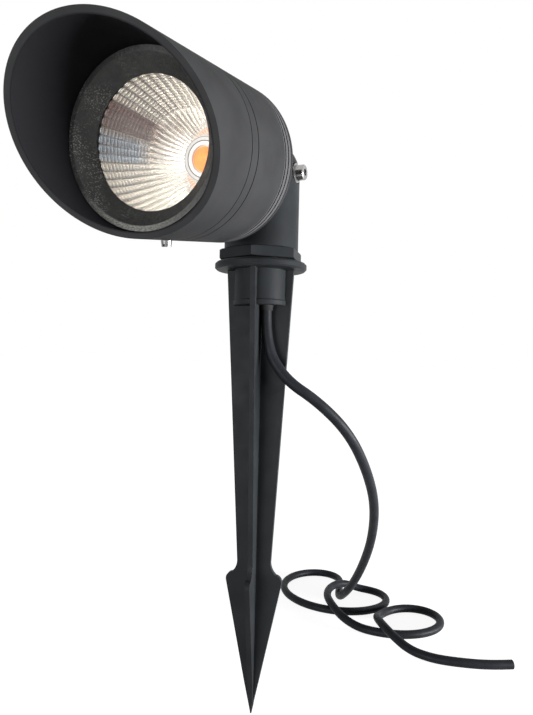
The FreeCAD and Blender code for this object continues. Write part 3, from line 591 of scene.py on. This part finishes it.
# %% [markdown]
# ## The faceted reflector
# The bowl is a ring of flutes, each a little proud of the wall, crossed by fine rings. It could be a
# bump pattern, but real facets break up reflections far better. Inside, each band swells a little
# between its two edges, so that every facet is a small pillow with fine lines round it. Below the
# bands the flutes run on smoothly to the throat. First comes the section of the wall, as a list.

# %% The section of the wall
throat_radius, mouth_radius, flange_radius = 8.73, 24.0, 25.2
throat_height = 57.5
wall, flange_height = 1.1, 1.2
band_shape = (0, 0.8, 1, 0.8)               # down a band, from one line to the next
band_rise = 0.06


def bowl_radius(height):
    """Radius of the bowl: the same gentle bow as the solid's, through three known places."""
    t = (height - throat_height) / (mouth_height - throat_height)
    middle = math.sqrt((throat_radius ** 2 + mouth_radius ** 2) / 2)
    return (throat_radius * (1 - t) * (1 - 2 * t) + middle * 4 * t * (1 - t)
            + mouth_radius * t * (2 * t - 1))


def profile():
    """The closed wall's rings in order, as (height, radius), and how many belong to the outside."""
    flange_back = mouth_height - flange_height
    rings = []
    for share in (0, 0.25, 0.5, 0.75, 1):
        height = throat_height + (flange_back - throat_height) * share
        rings.append((height, bowl_radius(height) + wall))
    rings += [(flange_back, flange_radius), (mouth_height, flange_radius), (mouth_height, mouth_radius)]
    outside = len(rings)
    steps = bands * len(band_shape)
    for step in range(1, steps + 1):
        height = mouth_height + (smooth_height - mouth_height) * (step / steps) ** band_crowding
        rings.append((height, bowl_radius(height) - band_rise * band_shape[step % len(band_shape)]))
    for share in (0.25, 0.5, 0.75, 1.0):
        height = smooth_height + (throat_height - smooth_height) * share
        rings.append((height, bowl_radius(height)))
    return rings, outside


rings, outside_rings = profile()
print("rings in the wall:", len(rings))

# %% [markdown]
# The lamp is tipped down, and drawing tipped shapes is hard. So the bowl is drawn upright, with Z
# along the lamp from the tilt pivot. One ring of edges is extruded and scaled: up the outside, over
# the flange, and down inside the bowl.

# %% Extrude the wall
flute_shape = (0, 0.75, 0.95, 1, 0.95, 0.75)       # across a flute, from one line to the next
around = flutes * len(flute_shape)
bpy.ops.object.select_all(action="DESELECT")
bpy.ops.mesh.primitive_circle_add(vertices=around, radius=rings[0][1] * mm, location=(0, 0, 0))
reflector = bpy.context.object
reflector.name = "faceted_reflector"
reflector.data.transform(Matrix.Translation((0, 0, rings[0][0] * mm)))
bpy.ops.object.mode_set(mode="EDIT")
bpy.ops.mesh.select_all(action="SELECT")
for (below, inner), (height, radius) in zip(rings, rings[1:]):
    bpy.ops.mesh.extrude_region_move(TRANSFORM_OT_translate={"value": (0, 0, (height - below) * mm)})
    bpy.ops.transform.resize(value=(radius / inner, radius / inner, 1), center_override=(0, 0, 0))
bpy.ops.mesh.select_all(action="DESELECT")
bpy.ops.object.mode_set(mode="OBJECT")
print("points in the wall:", len(reflector.data.vertices))

# %% [markdown]
# The wall is closed by bridging its first and last ring. Then every point inside the bowl moves
# towards the axis by as much as the flute stands out there, most in the middle of a flute.

# %% Close the wall and raise the flutes
flute_rise = 0.013           # how far a flute stands out, as a share of the bowl's radius
sharp_from = math.radians(18)
last_ring = (len(rings) - 1) * around
for edge in reflector.data.edges:
    ends = sorted(edge.vertices)
    edge.select = ends[1] < around or ends[0] >= last_ring
bpy.ops.object.mode_set(mode="EDIT")
bpy.ops.mesh.select_mode(type="EDGE")
bpy.ops.mesh.bridge_edge_loops()
bpy.ops.mesh.select_all(action="SELECT")
bpy.ops.mesh.normals_make_consistent(inside=False)
bpy.ops.object.mode_set(mode="OBJECT")
for point in reflector.data.vertices:
    if point.index >= outside_rings * around:
        bulge = flute_rise * flute_shape[point.index % len(flute_shape)]
        point.co.x *= 1 - bulge
        point.co.y *= 1 - bulge
bpy.ops.object.shade_smooth_by_angle(angle=sharp_from)
print("sharp edges begin at", round(math.degrees(sharp_from)), "degrees")

# %% [markdown]
# One matrix tips the finished bowl into its place in the lamp. Applying the transform afterwards
# leaves the object at the origin with its place in its mesh, as the solids are.

# %% Put the reflector in the lamp
reflector.matrix_world = Matrix.Translation(pivot) @ Matrix.Rotation(tip, 4, "X")
bpy.ops.object.transform_apply(location=True, rotation=True, scale=True)
reflector.data.materials.append(mirror_coat)
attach(reflector, "head")
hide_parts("reflector")
print("faces in the reflector:", len(reflector.data.polygons))

# %% [markdown]
# ## Floor, backdrop and light
# The floor is pale and catches the shadow, and it gets white with distance, so that no horizon
# shows. It glows only for the camera and for mirrors, so that it adds no light to the lamp.

# %% Floor
def seen_by(material, kind, *others):
    """A mask that is 1 for these kinds of rays and 0 for the rest."""
    rays = add(material, "ShaderNodeLightPath")
    seen = rays.outputs[kind]
    for other in others:
        seen = math_node(material, "MAXIMUM", seen, rays.outputs[other])
    return seen


bpy.ops.mesh.primitive_plane_add(size=30, location=(0, 0, 0))
floor = bpy.context.object
floor.name = "floor"
floor_finish = bpy.data.materials.new("pale_floor")
floor_finish.use_nodes = True
floor_inputs = shader_of(floor_finish).inputs
how_far = length_of(floor_finish, object_place(floor_finish))
lift = spread(floor_finish, how_far, 0.90, 1.0, start=0.25, end=1.5)
glow = product(floor_finish, seen_by(floor_finish, "Is Camera Ray", "Is Glossy Ray"), lift)
feed(floor_finish, grey(0.4), floor_inputs["Base Color"])
feed(floor_finish, 0.9, floor_inputs["Roughness"])
feed(floor_finish, grey(1), floor_inputs["Emission Color"])
feed(floor_finish, glow, floor_inputs["Emission Strength"])
floor.data.materials.append(floor_finish)
print("floor:", round(floor.dimensions.x), "m wide")

# %% [markdown]
# The world is white where the camera, a mirror or the glass looks at it, and dimmer as a light, so
# that the background is white without flooding the lamp. A world shader can tell rays apart.

# %% World
dim, white = 0.06, 1.0
world = bpy.context.scene.world or bpy.data.worlds.new("studio")
bpy.context.scene.world = world
world.use_nodes = True
world.node_tree.nodes.clear()
seen = seen_by(world, "Is Camera Ray", "Is Transmission Ray", "Is Glossy Ray")
background = add(world, "ShaderNodeBackground")
output = add(world, "ShaderNodeOutputWorld")
feed(world, grey(1), background.inputs["Color"])
feed(world, spread(world, seen, dim, white, start=0, end=1), background.inputs["Strength"])
feed(world, background.outputs["Background"], output.inputs["Surface"])
bpy.context.scene.view_settings.view_transform = "Standard"
print("world as a light:", dim, "and to the eye:", white)

# %% [markdown]
# Area lamps make the soft, wide highlights of a product picture. The key stands low on the right and
# lights the flank of the hood, and the front lamp fills the stake and the cable. Each is aimed by
# turning its own -Z towards what it lights.

# %% Lamps
def soft_lamp(name, place, aim, size, power):
    data = bpy.data.lights.new(name, "AREA")
    data.shape = "RECTANGLE"
    data.size, data.size_y = size
    data.energy = power
    lamp = bpy.data.objects.new(name, data)
    bpy.context.scene.collection.objects.link(lamp)
    lamp.location = place
    lamp.rotation_euler = (Vector(aim) - Vector(place)).to_track_quat("-Z", "Y").to_euler()
    print(name, "lamp:", power, "W")


soft_lamp("key_right", place=(0.80, 0.10, 0.09), aim=(0, -0.06, 0.2), size=(0.6, 0.06), power=23)
soft_lamp("front", place=(-0.25, -1.05, 0.10), aim=(0, 0, 0.06), size=(0.6, 0.2), power=10)
